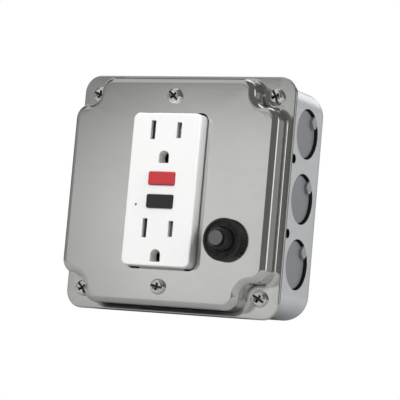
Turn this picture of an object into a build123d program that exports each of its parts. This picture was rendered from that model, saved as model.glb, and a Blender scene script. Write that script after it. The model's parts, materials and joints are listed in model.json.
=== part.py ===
from build123d import *
import os
from math import cos, pi, radians, sin, tan

# A boxed GFCI receptacle with a push-to-reset breaker.
# X runs to the right, Z up, and the front looks along -Y. The origin is the middle of the box's back face.
# A "height" is a distance in front of that back face, so a height h lies at Y = -h.

os.makedirs("parts", exist_ok=True)

# Outlet box
box_side = 101.6
box_depth = 38.1
box_wall = 1.6
box_corner = 11.0
box_back_edge = 7.5
ear_thick = 1.5
ear_leg = 8.0
lug_thick = 0.7
lead_radius = 0.95
knockout_radius = 11.1
knockout_pitch = 28.6
knockout_from_rim = 16.8
knockout_lift = 1.8
knockout_gap = 0.45
knockout_sink = 1.5
knockout_tab_turn = 40
side_hole_radius = 2.1
side_hole_from_rim = 5.0
side_hole_z = 16.2
wall_hole_radius = 2.4
wall_hole_spacing = 63.5

# Raised cover
cover_overhang = 1.7
cover_side = box_side + 2 * cover_overhang
cover_corner = 7.75
cover_thick = 1.6
raise_height = 11.3
raise_flat = cover_side / 2 - 5.2
raise_round = 2.7
foot_round = 1.8
notch_radius = 8.5
lobe_round = 3.5
cover_screw_at = box_side / 2 - 7.2

# Fasteners
cover_screw_shank = 2.08
cover_screw_head = 3.7
cover_screw_length = 13.0
device_screw_spacing = 83.3
device_screw_shank = 1.75
device_screw_head = 3.5
device_screw_length = 9.0
screw_clearance = 0.3
thread_clearance = 0.04

# Receptacle
face_width = 33.3
face_height = 66.8
face_corner = 3.0
face_stand = 5.5
face_wall = 1.8
face_front_wall = 2.0
opening_gap = 0.9
strap_thick = 1.6
strap_width = face_width - 0.3
strap_end_width = 22.0
strap_length = 93.2
housing_width = face_width + 8.7
housing_height = 70.0
housing_depth = 25.4
housing_wall = 1.8
outlet_z = (25.9, -16.9)
slot_x = 6.35
slot_width = 2.3
neutral_slot_height = 8.3
hot_slot_height = 6.9
earth_below_slots = 11.7
earth_width = 5.0
earth_height = 5.4
earth_collar = 0.9
button_width = 12.7
reset_height = 5.6
reset_z = 4.75
test_height = 5.7
test_z = -5.2
button_gap = 0.2
button_stand = 0.9
reset_travel = 2.5
test_travel = 1.8
shutter_travel = 3.0
trip_travel = 2.0
lamp_x = 4.95 - face_width / 2
lamp_z = -6.9
lamp_radius = 0.6
post_x = face_width / 2 - 3.75
post_z = 9.7
post_radius = 1.8
housing_screw_shank = 1.1
terminal_z = 22.0

# Breaker
breaker_x = 30.5
breaker_z = -20.1
bushing_radius = 4.76
bushing_stand = 8.4
nut_radius = 9.3
nut_height = 3.8
nut_teeth = 60
nut_opening = 5.6
plunger_radius = 3.2
plunger_stand = 1.6
plunger_gap = 0.1
case_width = 14.3
case_height = 32.0
case_depth = 30.0
case_wall = 1.5
back_nut_height = 2.4

# Heights in front of the box's back face
rim = box_depth
flange_front = rim + cover_thick
raise_front = flange_front + raise_height
strap_front = raise_front - cover_thick
strap_back = strap_front - strap_thick
face_front = raise_front + face_stand
face_inside = face_front - face_front_wall
housing_back = strap_back - housing_depth
separator_top = strap_back - 7.8
separator_bottom = separator_top - 1.5
board_bottom = housing_back + 3.6
board_top = board_bottom + 1.6
case_top = strap_front - back_nut_height
case_bottom = case_top - case_depth


def plate(outline, low, high):
    """A slab of an outline drawn in X and Z, between two heights."""
    return extrude(Plane.XZ.offset(low) * outline, amount=high - low)


def bar(x0, x1, z0, z1, low, high):
    """A rectangular block between two X, two Z and two heights."""
    return plate(Pos((x0 + x1) / 2, (z0 + z1) / 2) * Rectangle(x1 - x0, z1 - z0), low, high)


def disc(x, z, radius, low, high):
    """A round bar that points to the front."""
    return plate(Pos(x, z) * Circle(radius), low, high)


def side_disc(height, z, radius, x0, x1):
    """A round bar that points to the right."""
    return extrude(Plane.YZ.offset(x0) * Pos(-height, z) * Circle(radius), amount=x1 - x0)


def upright_disc(x, height, radius, z0, z1):
    """A round bar that points up."""
    return extrude(Plane.XY.offset(z0) * Pos(x, -height) * Circle(radius), amount=z1 - z0)


def front_edges(solid):
    """The edges around a solid's front face."""
    return solid.faces().sort_by(Axis.Y)[0].edges()


def back_edges(solid):
    """The edges around a solid's back face."""
    return solid.faces().sort_by(Axis.Y)[-1].edges()


def corners(at):
    """The four corners of a square pattern."""
    return [(sx * at, sz * at) for sx in (-1, 1) for sz in (-1, 1)]


def save(name, *solids):
    """Write the separate solids of one node."""
    shape = solids[0] if len(solids) == 1 else Compound(children=[Part() + s for s in solids])
    export_step(shape, f"parts/{name}.step")


def machine_screw(x, z, seat, head, shank, length, head_height=2.3):
    """A pan head with a cross and a full slot, and its shank, pointing to the front."""
    cap = disc(x, z, head, seat, seat + head_height)
    cap = fillet(front_edges(cap), head_height * 0.6)
    top = seat + head_height
    cap -= bar(x - head, x + head, z - 0.45, z + 0.45, top - 0.8, top)
    for wide, tall in ((3.9, 1.0), (1.0, 3.9)):
        cap -= bar(x - wide / 2, x + wide / 2, z - tall / 2, z + tall / 2, top - 1.4, top)
    return cap + disc(x, z, shank, seat - length, seat)


def hex_nut(x, z, flats, bore, low, high):
    """A hexagonal nut that lies in X and Z."""
    outline = Pos(x, z) * RegularPolygon(flats / 2, 6, major_radius=False)
    nut = plate(outline, low, high)
    return nut - disc(x, z, bore, low, high)


def coil(frame, length, radius, wire, turns):
    """A helical spring that stands on a plane and is as long as given."""
    run = length - 2 * wire
    path = frame * Pos(0, 0, wire) * Helix(pitch=run / turns, height=run, radius=radius)
    return sweep(Plane(origin=path @ 0, z_dir=path % 0) * Circle(wire), path=path, is_frenet=True)


# Outlet box: drawn shell, knockouts and ears
def box_outline(inset=0.0):
    side = box_side - 2 * inset
    return RectangleRounded(side, side, box_corner - inset)


knockout_height = box_depth - knockout_from_rim
knockout_row = [knockout_lift + step * knockout_pitch for step in (-1, 0, 1)]
back_knockouts_at = [(0, 0)] + [(d, 0) for d in (-knockout_pitch, knockout_pitch)]
back_knockouts_at += [(0, d) for d in (-knockout_pitch, knockout_pitch)]
earth_screw_at = (-wall_hole_spacing / 2, -12.0 - knockout_radius)

shell = fillet(back_edges(plate(box_outline(), 0, rim)), box_back_edge)
hollow = plate(box_outline(box_wall), box_wall, rim + 1)
shell -= fillet(back_edges(hollow), box_back_edge - box_wall)
side_cuts = []
for z in knockout_row:
    side_cuts.append(side_disc(knockout_height, z, knockout_radius, box_side / 2 - 5, box_side / 2 + 5))
for z in (knockout_lift - side_hole_z, knockout_lift + side_hole_z):
    side_cuts.append(
        side_disc(rim - side_hole_from_rim, z, side_hole_radius, box_side / 2 - 5, box_side / 2 + 5)
    )
for quarter in range(4):
    for cut in side_cuts:
        shell -= Rot(0, 90 * quarter, 0) * cut
for x, z in back_knockouts_at:
    shell -= disc(x, z, knockout_radius, -1, box_wall + 1)
for x, z in corners(wall_hole_spacing / 2):
    shell -= disc(x, z, wall_hole_radius, -1, box_wall + 1)
shell -= disc(*earth_screw_at, 2.4 + thread_clearance, -1, box_wall + 1)
save("box_shell", shell)


def knockout_blank(turn):
    """A sheared disc on the right side wall, sunk a little, with the tab that still holds it."""
    outer = box_side / 2
    radius = knockout_radius - knockout_gap
    blank = side_disc(knockout_height, 0, radius, outer - box_wall - knockout_sink, outer - knockout_sink)
    blank = fillet(blank.faces().sort_by(Axis.X)[-1].edges(), 0.3)
    tab = extrude(
        Plane.YZ.offset(outer - box_wall) * Pos(-knockout_height, 0) * Rot(0, 0, turn)
        * Pos(knockout_radius - 1.6, 0) * RectangleRounded(5.0, 5.0, 1.5),
        amount=box_wall,
    )
    tab &= side_disc(knockout_height, 0, knockout_radius, outer - box_wall, outer)
    tab = tab if knockout_sink < box_wall else tab + Pos(box_wall - knockout_sink, 0, 0) * tab
    return blank + tab


side_blanks = []
for quarter in range(4):
    for z in knockout_row:
        side_blanks.append(Rot(0, 90 * quarter, 0) * Pos(0, 0, z) * knockout_blank(knockout_tab_turn))
save("side_knockouts", *side_blanks)

back_blanks = []
for x, z in back_knockouts_at:
    blank = disc(x, z, knockout_radius - knockout_gap, 0, box_wall)
    tab = bar(x - 2.5, x + 2.5, z + knockout_radius - 4, z + knockout_radius + 1, 0, box_wall)
    tab &= disc(x, z, knockout_radius, 0, box_wall)
    back_blanks.append(blank + tab)
save("back_knockouts", *back_blanks)

ear_reach = cover_screw_at - 5.2
ears = []
for x, z in corners(cover_screw_at):
    sx = 1 if x > 0 else -1
    sz = 1 if z > 0 else -1
    corner = Pos(sx * (ear_reach + 10), sz * (ear_reach + 10)) * Rectangle(20, 20)
    inside = box_outline(box_wall) & corner
    top = plate(inside, rim - ear_thick, rim)
    leg = plate(inside - box_outline(box_wall + ear_thick), rim - ear_leg, rim - ear_thick)
    ears.append(top + leg - disc(x, z, cover_screw_shank + thread_clearance, rim - 3, rim + 1))
save("cover_screw_ears", *ears)

head_seat = box_wall + lug_thick
earth_hexagon = Pos(*earth_screw_at) * RegularPolygon(4.0, 6, major_radius=False)
earth_head = chamfer(front_edges(plate(earth_hexagon, head_seat, head_seat + 3.0)), 0.4)
save("box_earth_screw", earth_head + disc(*earth_screw_at, 2.4, 0.2, head_seat))
lug_height = box_wall + 1.5
barrel_start = earth_screw_at[0] - 5.6
barrel_end = barrel_start - 5.0
lug = disc(*earth_screw_at, 4.4, box_wall, head_seat)
lug += bar(barrel_start - 1, earth_screw_at[0], earth_screw_at[1] - 1.2, earth_screw_at[1] + 1.2,
           box_wall, head_seat)
lug -= disc(*earth_screw_at, 2.4 + thread_clearance, 0, head_seat + 1)
lug += side_disc(lug_height, earth_screw_at[1], 1.5, barrel_end, barrel_start)
save("earth_lug", lug)


# Leads inside the box
def lead(points):
    """A lead along a hand-chosen route of X, height and Z, each corner as round as its runs allow."""
    places = [Vector(x, -height, z) for x, height, z in points]
    bends = []
    for before, at, after in zip(places, places[1:], places[2:]):
        shorter = min((at - before).length, (after - at).length)
        half_turn = radians((at - before).get_angle(after - at)) / 2
        bends.append(0.45 * shorter / tan(half_turn))
    path = FilletPolyline(*places, radius=bends)
    return sweep(Plane(origin=path @ 0, z_dir=path % 0) * Circle(lead_radius), path=path)


# Raised cover with crushed corners
def raise_outline(grow=0.0):
    """The raised part's plan: a square with a bay around each corner screw."""
    outline = Rectangle(2 * raise_flat, 2 * raise_flat)
    for x, z in corners(cover_screw_at):
        outline -= Pos(x, z) * Circle(notch_radius)
    outline = fillet(outline.vertices(), lobe_round)
    return offset(outline, grow) if grow else outline


cover = plate(RectangleRounded(cover_side, cover_side, cover_corner), rim, flange_front)
cover = fillet(front_edges(cover), 0.5)
raised = plate(raise_outline(raise_round), rim, raise_front)
cover += fillet(front_edges(raised), raise_round - 0.02)
flange_face = [f for f in cover.faces() if abs(f.center().Y + flange_front) < 1e-3 and f.inner_wires()]
cover = fillet(flange_face[0].inner_wires()[0].edges(), foot_round)
under = plate(raise_outline(raise_round - cover_thick), rim - 1, strap_front)
cover -= fillet(front_edges(under), raise_round - cover_thick - 0.02)
device_opening = RectangleRounded(
    face_width + 2 * opening_gap, face_height + 2 * opening_gap, face_corner + opening_gap
)
cover -= plate(device_opening, strap_front - 1, raise_front + 1)
cover -= disc(breaker_x, breaker_z, bushing_radius + screw_clearance, strap_front - 1, raise_front + 1)
for z in (-device_screw_spacing / 2, device_screw_spacing / 2):
    cover -= disc(0, z, device_screw_shank + screw_clearance, strap_front - 1, raise_front + 1)
for x, z in corners(cover_screw_at):
    cover -= disc(x, z, cover_screw_shank + screw_clearance, rim - 1, flange_front + 1)
save("raised_cover", cover)

save("cover_screws", *[
    machine_screw(x, z, flange_front, cover_screw_head, cover_screw_shank, cover_screw_length)
    for x, z in corners(cover_screw_at)
])
device_screw_z = (device_screw_spacing / 2, -device_screw_spacing / 2)
save("device_screws", *[
    machine_screw(0, z, raise_front, device_screw_head, device_screw_shank, device_screw_length)
    for z in device_screw_z
])
device_nut_height = 2.8
save("device_nuts", *[
    hex_nut(0, z, 7.9, device_screw_shank + thread_clearance, strap_back - device_nut_height, strap_back)
    for z in device_screw_z
])

# Mounting strap, ears snapped off, with its earth tab
window_x = post_x - 1.7
window_z = face_height / 2 - face_wall - 0.8
earth_tab_at = (-housing_width / 2 - 5.0, -30.0)
strap = plate(RectangleRounded(strap_width, face_height - 0.3, 2.0), strap_back, strap_front)
strap += plate(RectangleRounded(strap_end_width, strap_length, 2.5), strap_back, strap_front)
strap += bar(earth_tab_at[0] - 4, -strap_width / 2 + 1, earth_tab_at[1] - 4, earth_tab_at[1] + 4,
             strap_back, strap_front)
strap -= bar(-window_x, window_x, -window_z, window_z, strap_back - 1, strap_front + 1)
strap -= disc(lamp_x, lamp_z, lamp_radius + screw_clearance, strap_back - 1, strap_front + 1)
for x in (-post_x, post_x):
    for z in (-post_z, post_z):
        strap -= disc(x, z, housing_screw_shank + screw_clearance, strap_back - 1, strap_front + 1)
for z in device_screw_z:
    strap -= disc(0, z, device_screw_shank + screw_clearance, strap_back - 1, strap_front + 1)
strap -= disc(*earth_tab_at, 2.1 + thread_clearance, strap_back - 1, strap_front + 1)
save("mounting_strap", strap)

strap_earth_screw = disc(*earth_tab_at, 4.0, strap_back - 2.2, strap_back)
strap_earth_screw = fillet(back_edges(strap_earth_screw), 0.8)
strap_earth_screw -= bar(earth_tab_at[0] - 4, earth_tab_at[0] + 4, earth_tab_at[1] - 0.5,
                         earth_tab_at[1] + 0.5, strap_back - 2.3, strap_back - 1.3)
strap_earth_screw += disc(*earth_tab_at, 2.1, strap_back, strap_front - 0.1)
save("strap_earth_screw", strap_earth_screw)

# Receptacle face
face = plate(RectangleRounded(face_width, face_height, face_corner), strap_front, face_front)
face = fillet(front_edges(face), 0.9)
inside_width = face_width - 2 * face_wall
inside_height = face_height - 2 * face_wall
face -= plate(RectangleRounded(inside_width, inside_height, face_corner - face_wall),
              strap_front - 1, face_inside)
for x in (-post_x, post_x):
    for z in (-post_z, post_z):
        face += disc(x, z, post_radius, strap_front, face_inside)
        face -= disc(x, z, housing_screw_shank, strap_front - 1, face_inside - 0.8)


def earth_hole(z, grow=0.0):
    """A D-shaped hole with a flat foot and a round top."""
    half = earth_width / 2 + grow
    foot = z - earth_height / 2 - grow
    crown = z + earth_height / 2 + grow - half
    hole = Pos(0, crown) * Circle(half)
    return hole + Pos(0, (foot + crown) / 2) * Rectangle(2 * half, crown - foot)


for z in outlet_z:
    face += plate(earth_hole(z - earth_below_slots, earth_collar), strap_front + 1.1, face_inside)
    face -= bar(-slot_x - slot_width / 2, -slot_x + slot_width / 2,
                z - neutral_slot_height / 2, z + neutral_slot_height / 2, face_inside - 1, face_front + 1)
    face -= bar(slot_x - slot_width / 2, slot_x + slot_width / 2,
                z - hot_slot_height / 2, z + hot_slot_height / 2, face_inside - 1, face_front + 1)
    face -= plate(earth_hole(z - earth_below_slots), strap_front, face_front + 1)
for z, height in ((reset_z, reset_height), (test_z, test_height)):
    opening = RectangleRounded(button_width + 2 * button_gap, height + 2 * button_gap, 0.8)
    face -= plate(Pos(0, z) * opening, face_inside - 1, face_front + 1)
face -= disc(lamp_x, lamp_z, lamp_radius, face_inside - 1, face_front + 1)
save("gfci_face", face)

# Shutters, their carrier and springs
carrier_top = face_inside - 2.4
carrier_bottom = carrier_top - 1.1
shutter_low = carrier_top + 0.2
shutter_top = face_inside - 0.3
shutter_half = 4.9
carrier_half = 5.3
shutter_left = -slot_x - slot_width / 2 - shutter_travel - 1.1
shutter_right = slot_x + slot_width / 2 + 1.9
spring_end = inside_width / 2
carrier_parts = []
for z in outlet_z:
    outline = Pos(0, z) * RectangleRounded(inside_width, 2 * carrier_half, face_corner - face_wall)
    carrier = plate(outline, carrier_bottom, carrier_top)
    for x in (-slot_x, slot_x):
        carrier -= bar(x - 1.4, x + 1.4, z - 4.4, z + 4.4, carrier_bottom - 1, carrier_top + 1)
    carrier_parts.append(carrier)
save("shutter_carrier", *carrier_parts)

for name, z in zip(("upper", "lower"), outlet_z):
    shutter = bar(shutter_left, shutter_right, z - shutter_half, z + shutter_half,
                  shutter_low, shutter_low + 0.8)
    shutter += bar(slot_x - slot_width / 2 - 0.4, shutter_right, z - shutter_half, z + shutter_half,
                   shutter_low, shutter_top)
    for x in (-slot_x - shutter_travel, slot_x - shutter_travel):
        shutter -= bar(x - slot_width / 2, x + slot_width / 2, z - 4.3, z + 4.3,
                       shutter_low - 1, shutter_top + 1)
    save(f"{name}_shutter", shutter)
    spring_frame = Plane.YZ.offset(shutter_right) * Pos(-(shutter_low + 1.0), z)
    save(f"{name}_shutter_spring", coil(spring_frame, spring_end - shutter_right, 0.75, 0.15, 5))

# Reset and test buttons
collar_bottom = face_inside - 2.1
collar_top = face_inside - 0.2
cap_bottom = collar_bottom - 0.4


def button(z, height):
    """A cap that fills its opening, with the collar that keeps it behind the face."""
    cap = plate(Pos(0, z) * RectangleRounded(button_width, height, 0.6), cap_bottom,
                face_front + button_stand)
    cap = fillet(front_edges(cap), 0.45)
    collar = Pos(0, z) * RectangleRounded(button_width + 1.8, height + 1.2, 0.6)
    return cap + plate(collar, collar_bottom, collar_top)


pin_radius = 1.0
pin_end = board_top + reset_travel + 0.5
save("reset_button", button(reset_z, reset_height))
pin = disc(0, reset_z, pin_radius, pin_end, cap_bottom)
pin = chamfer(back_edges(pin), 0.4)
save("reset_pin", pin)
save("reset_spring", coil(Plane.XZ.offset(separator_top) * Pos(0, reset_z),
                          cap_bottom - separator_top, 2.2, 0.25, 7))
test_stem_end = separator_top + 7.0
save("test_button", button(test_z, test_height) + disc(0, test_z, 1.6, test_stem_end, cap_bottom))
save("test_spring", coil(Plane.XZ.offset(separator_top) * Pos(0, test_z),
                         cap_bottom - separator_top, 2.3, 0.22, 7))
save("test_contact", disc(0, test_z, 1.4, separator_bottom - 0.8, test_stem_end - test_travel - 0.6)
     + disc(0, test_z, 1.9, separator_bottom - 0.8, separator_bottom))

# Rear housing with its terminal pockets
cavity_narrow = housing_width / 2 - 6.0
cavity_wide = housing_width / 2 - housing_wall
cavity_z = housing_height / 2 - housing_wall
pocket_floor = housing_width / 2 - 4.0
pocket_low = housing_back + 5.0
pocket_high = strap_back - 3.0
terminal_height = (pocket_low + pocket_high) / 2
floor = housing_back + housing_wall
housing = plate(RectangleRounded(housing_width, housing_height, 3.0), housing_back, strap_back)
housing = fillet(back_edges(housing), 1.2)
housing -= bar(-cavity_narrow, cavity_narrow, -cavity_z, cavity_z, floor, strap_back + 1)
housing -= bar(-cavity_wide, cavity_wide, -10.5, 10.5, floor, strap_back + 1)
for sx in (-1, 1):
    for sz in (-1, 1):
        x0, x1 = sorted((sx * pocket_floor, sx * (housing_width / 2 + 1)))
        z0, z1 = sorted((sz * (terminal_z - 8), sz * (terminal_z + 8)))
        housing -= bar(x0, x1, z0, z1, pocket_low, pocket_high)
        hole_0, hole_1 = sorted((sx * (cavity_narrow - 1), sx * (pocket_floor + 1)))
        housing -= side_disc(terminal_height, sz * terminal_z, 2.1, hole_0, hole_1)
        housing += disc(sx * post_x, sz * post_z, 2.6, floor - 0.5, board_bottom)
        housing -= disc(sx * post_x, sz * post_z, housing_screw_shank + screw_clearance,
                        housing_back - 1, board_bottom + 1)
        housing -= disc(sx * post_x, sz * post_z, 2.2, housing_back - 1, housing_back + 1.0)
save("rear_housing", housing)


def housing_screw(x, z):
    """A long screw from the back of the housing into a post of the face."""
    head = disc(x, z, 2.0, housing_back, housing_back + 1.0)
    head -= bar(x - 2, x + 2, z - 0.3, z + 0.3, housing_back - 1, housing_back + 0.5)
    return head + disc(x, z, housing_screw_shank - thread_clearance, housing_back + 1.0, face_inside - 1.2)


post_places = [(sx * post_x, sz * post_z) for sx in (-1, 1) for sz in (-1, 1)]
save("housing_screws", *[housing_screw(x, z) for x, z in post_places])

# Separator that carries the contacts
contact_tab_x = cavity_narrow - 1.4
separator = bar(-cavity_narrow + 0.2, cavity_narrow - 0.2, -cavity_z + 0.2, cavity_z - 0.2,
                separator_bottom, separator_top)
for x, z in post_places:
    separator += disc(x, z, 2.0, board_top, strap_back)
    separator -= disc(x, z, housing_screw_shank + screw_clearance, board_top - 1, strap_back + 1)
separator -= disc(0, reset_z, pin_radius + 0.4, separator_bottom - 1, separator_top + 1)
separator -= disc(0, test_z, 1.4, separator_bottom - 1, separator_top + 1)
separator -= disc(lamp_x, lamp_z, lamp_radius + 0.4, separator_bottom - 1, separator_top + 1)
for sx in (-1, 1):
    for sz in (-1, 1):
        x0, x1 = sorted((sx * (contact_tab_x - 0.4), sx * cavity_narrow))
        separator -= bar(x0, x1, sz * terminal_z - 3.4, sz * terminal_z + 3.4,
                         separator_bottom - 1, separator_top + 1)
save("separator", separator)

# Contacts: a clip for each blade, on one strip with its two terminal tabs
contact_base = separator_top + 1.0
contact_top = carrier_bottom - 0.4
leaf_inner = 0.85
leaf_thick = 0.8


def contact_strip(sx):
    """The strip on one side: two blade clips and two tapped tabs for the terminal screws."""
    def across(a, b, z0, z1, low, high):
        x0, x1 = sorted((sx * a, sx * b))
        return bar(x0, x1, z0, z1, low, high)

    outer = slot_x + leaf_inner + leaf_thick
    strip = across(outer - 0.2, outer + 1.8, min(outlet_z) - 3, terminal_z + 3.0,
                   separator_top, contact_base)
    for z in outlet_z:
        strip += across(slot_x - leaf_inner - leaf_thick, outer, z - 3, z + 3, separator_top, contact_base)
        for side in (-1, 1):
            inner = slot_x + side * leaf_inner
            leaf_0, leaf_1 = sorted((inner, inner + side * leaf_thick))
            strip += across(leaf_0, leaf_1, z - 3, z + 3, separator_top, contact_top)
    strip += across(outer, outer + 1.8, -terminal_z - 3, terminal_z + 3, separator_top, contact_base)
    for z in (-terminal_z, terminal_z):
        strip += across(outer, contact_tab_x + 1.2, z - 3, z + 3, separator_top, contact_base)
        strip += across(contact_tab_x, contact_tab_x + 1.2, z - 3, z + 3,
                        terminal_height - 3, contact_base)
        hole_0, hole_1 = sorted((sx * (contact_tab_x - 1), sx * (contact_tab_x + 2)))
        strip -= side_disc(terminal_height, z, 1.8 + thread_clearance, hole_0, hole_1)
    return strip


save("hot_contacts", contact_strip(1))
save("neutral_contacts", contact_strip(-1))

earth_contacts = []
for z in outlet_z:
    centre = z - earth_below_slots
    sleeve = disc(0, centre, 3.4, separator_top + 1.2, strap_front + 1.0)
    arm = bar(-window_x - 2.0, 0, centre - 1.8, centre + 1.8, strap_front, strap_front + 1.0)
    contact = sleeve + arm - disc(0, centre, 2.6, separator_top, strap_front + 2.0)
    earth_contacts.append(contact - bar(-5, 5, centre - 5, centre - 2.0, separator_top, strap_front + 2.0))
save("earth_contacts", *earth_contacts)

# Terminal screws and pressure plates
plate_in = pocket_floor + 0.6
plate_out = plate_in + 1.2


def terminal_screw(sx, z):
    """A screw that points outwards through the housing wall into its contact tab."""
    head_0, head_1 = sorted((sx * plate_out, sx * (plate_out + 1.8)))
    head = side_disc(terminal_height, z, 3.8, head_0, head_1)
    head = fillet(head.faces().sort_by(Axis.X)[-1 if sx > 0 else 0].edges(), 0.6)
    slot = extrude(Plane.YZ.offset(sx * (plate_out + 1.0)) * Pos(-terminal_height, z) * Rectangle(9, 1.0),
                   amount=sx * 2)
    shank_0, shank_1 = sorted((sx * (contact_tab_x - 0.4), sx * plate_out))
    return head - slot + side_disc(terminal_height, z, 1.8, shank_0, shank_1)


def pressure_plate(sx, z):
    """A square clamp plate under a terminal screw's head."""
    x0, x1 = sorted((sx * plate_in, sx * plate_out))
    clamp = bar(x0, x1, z - 4.2, z + 4.2, terminal_height - 4.2, terminal_height + 4.2)
    return clamp - side_disc(terminal_height, z, 2.0, x0 - 1, x1 + 1)


for name, sx in (("hot", 1), ("neutral", -1)):
    save(f"{name}_terminal_screws", *[terminal_screw(sx, z) for z in (-terminal_z, terminal_z)])
save("pressure_plates", *[pressure_plate(sx, z) for sx in (-1, 1) for z in (-terminal_z, terminal_z)])

# Circuit board, sensing transformer, lamp and light guide
board = bar(-cavity_narrow + 0.3, cavity_narrow - 0.3, -cavity_z + 0.4, cavity_z - 0.4,
            board_bottom, board_top)
for x, z in post_places:
    board -= disc(x, z, housing_screw_shank + screw_clearance, board_bottom - 1, board_top + 1)
save("circuit_board", board)
ring_z = -20.0
ring = disc(0, ring_z, 8.0, board_top, separator_bottom - 2.0)
ring -= disc(0, ring_z, 3.6, board_top - 1, separator_bottom)
ring = fillet(ring.faces().sort_by(Axis.Y)[0].edges(), 1.5)
save("sensing_transformer", ring)
lamp_top = board_top + 2.6
save("indicator_lamp", bar(lamp_x - 0.75, lamp_x + 0.75, lamp_z - 0.75, lamp_z + 0.75, board_top, lamp_top))
save("light_guide", disc(lamp_x, lamp_z, lamp_radius - 0.02, lamp_top, face_front - 0.2))

# Trip solenoid, plunger and latch
coil_height = board_top + 5.0
coil_low_z = 13.0
coil_high_z = 27.0
bobbin = upright_disc(0, coil_height, 3.0, coil_low_z, coil_high_z)
for z in (coil_low_z, coil_high_z - 1.0):
    bobbin += upright_disc(0, coil_height, 4.9, z, z + 1.0)
bobbin -= upright_disc(0, coil_height, 2.1, coil_low_z - 1, coil_high_z + 1)
save("solenoid_bobbin", bobbin)
winding = upright_disc(0, coil_height, 4.6, coil_low_z + 1.0, coil_high_z - 1.0)
winding -= upright_disc(0, coil_height, 3.0, coil_low_z, coil_high_z)
save("solenoid_winding", winding)
latch_tab_top = 10.0
plunger_tip = latch_tab_top + 0.2
plunger_head = coil_high_z + 3.4
plunger = upright_disc(0, coil_height, 1.8, plunger_tip, plunger_head)
plunger += upright_disc(0, coil_height, 3.2, plunger_head, plunger_head + 0.8)
save("solenoid_plunger", plunger)
spring_frame = Plane.XY.offset(coil_high_z) * Pos(0, -coil_height)
save("plunger_spring", coil(spring_frame, plunger_head - coil_high_z, 2.4, 0.15, 3))

block_top = separator_bottom - 2.9
block_bottom = block_top - 4.4
latch_low = block_bottom + 1.9
latch_thick = 0.7
slide_gap = 0.2
block_low_z = reset_z - 3.6
block_high_z = reset_z + 2.1
carriage = bar(-5.5, 5.5, block_low_z, block_high_z, block_bottom, block_top)
carriage -= disc(0, reset_z, pin_radius + 0.4, block_bottom - 1, block_top + 1)
carriage -= bar(-2.5 - slide_gap, 2.5 + slide_gap, block_low_z - 1, block_high_z + 1,
                latch_low - slide_gap, latch_low + latch_thick + slide_gap)
save("contact_carriage", carriage)
latch = bar(-2.5, 2.5, block_low_z + 0.4, latch_tab_top, latch_low, latch_low + latch_thick)
latch -= bar(-1.3, 1.3, reset_z - 1.3, reset_z + 1.3 + trip_travel, latch_low - 1, latch_low + 2)
latch += bar(-2.5, 2.5, latch_tab_top - 0.8, latch_tab_top, latch_low, latch_low + 3.4)
save("latch_plate", latch)
arm_top = block_top + 0.8
moving_contacts = []
fixed_contacts = []
for sx in (-1, 1):
    x0, x1 = sorted((sx * 4.0, sx * 9.6))
    arm = bar(x0, x1, reset_z - 2.0, reset_z + 1.2, block_top, arm_top)
    moving_contacts.append(arm + disc(sx * 8.2, reset_z - 0.4, 1.2, arm_top, arm_top + 0.6))
    fixed_contacts.append(disc(sx * 8.2, reset_z - 0.4, 1.5, arm_top + 0.7, separator_bottom))
save("moving_contacts", *moving_contacts)
save("fixed_contacts", *fixed_contacts)

# Push-to-reset breaker
x0 = breaker_x - case_width / 2
x1 = breaker_x + case_width / 2
z0 = breaker_z - case_height / 2
z1 = breaker_z + case_height / 2
base_top = case_bottom + 2.4
case = bar(x0, x1, z0, z1, base_top, case_top)
case -= bar(x0 + case_wall, x1 - case_wall, z0 + case_wall, z1 - case_wall,
            base_top - 1, case_top - case_wall)
case -= disc(breaker_x, breaker_z, bushing_radius, base_top, case_top + 1)
save("breaker_case", case)
spade_places = [breaker_z - 10.0, breaker_z + 10.0]
spade_half = 3.175
spade_thick = 0.8
base = bar(x0, x1, z0, z1, case_bottom, base_top)
for z in spade_places:
    base -= bar(breaker_x - spade_thick / 2, breaker_x + spade_thick / 2, z - spade_half, z + spade_half,
                case_bottom - 1, base_top + 1)
save("breaker_base", base)


def spade(z):
    """A quick-connect terminal with its contact button inside the case."""
    blade = bar(breaker_x - spade_thick / 2, breaker_x + spade_thick / 2, z - spade_half, z + spade_half,
                case_bottom - 7.9, base_top + 5.0)
    return blade - side_disc(case_bottom - 4.0, z, 0.9, breaker_x - 2, breaker_x + 2)


save("breaker_terminals", *[spade(z) for z in spade_places])
bimetal = bar(x0 + case_wall + 0.1, x0 + case_wall + 0.7, breaker_z - 4, breaker_z + 4,
              base_top, base_top + 19)
save("breaker_bimetal", bimetal)

bushing_end = raise_front + bushing_stand
thread_pitch = 0.907
thread_depth = 0.4
bushing_bore = plunger_radius + plunger_gap
bushing = disc(breaker_x, breaker_z, bushing_radius, case_top - case_wall, bushing_end)
bushing = chamfer(front_edges(bushing), 0.9)
nut_front = raise_front + nut_height
groove = Polyline((0, -thread_pitch * 0.35), (-thread_depth, 0), (0, thread_pitch * 0.35), close=True)
groove_face = Plane.XY * Pos(bushing_radius, 0) * make_face(groove)
for turn in range(6):
    level = nut_front - 1.6 + turn * thread_pitch
    ring_cut = revolve(groove_face, Axis.Y)
    bushing -= Pos(breaker_x, -level, breaker_z) * ring_cut
bushing -= disc(breaker_x, breaker_z, bushing_bore, case_top - 5, bushing_end + 1)
save("breaker_bushing", bushing)
save("breaker_back_nut",
     hex_nut(breaker_x, breaker_z, case_width - 0.3, bushing_radius + thread_clearance,
             case_top, strap_front))

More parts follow.
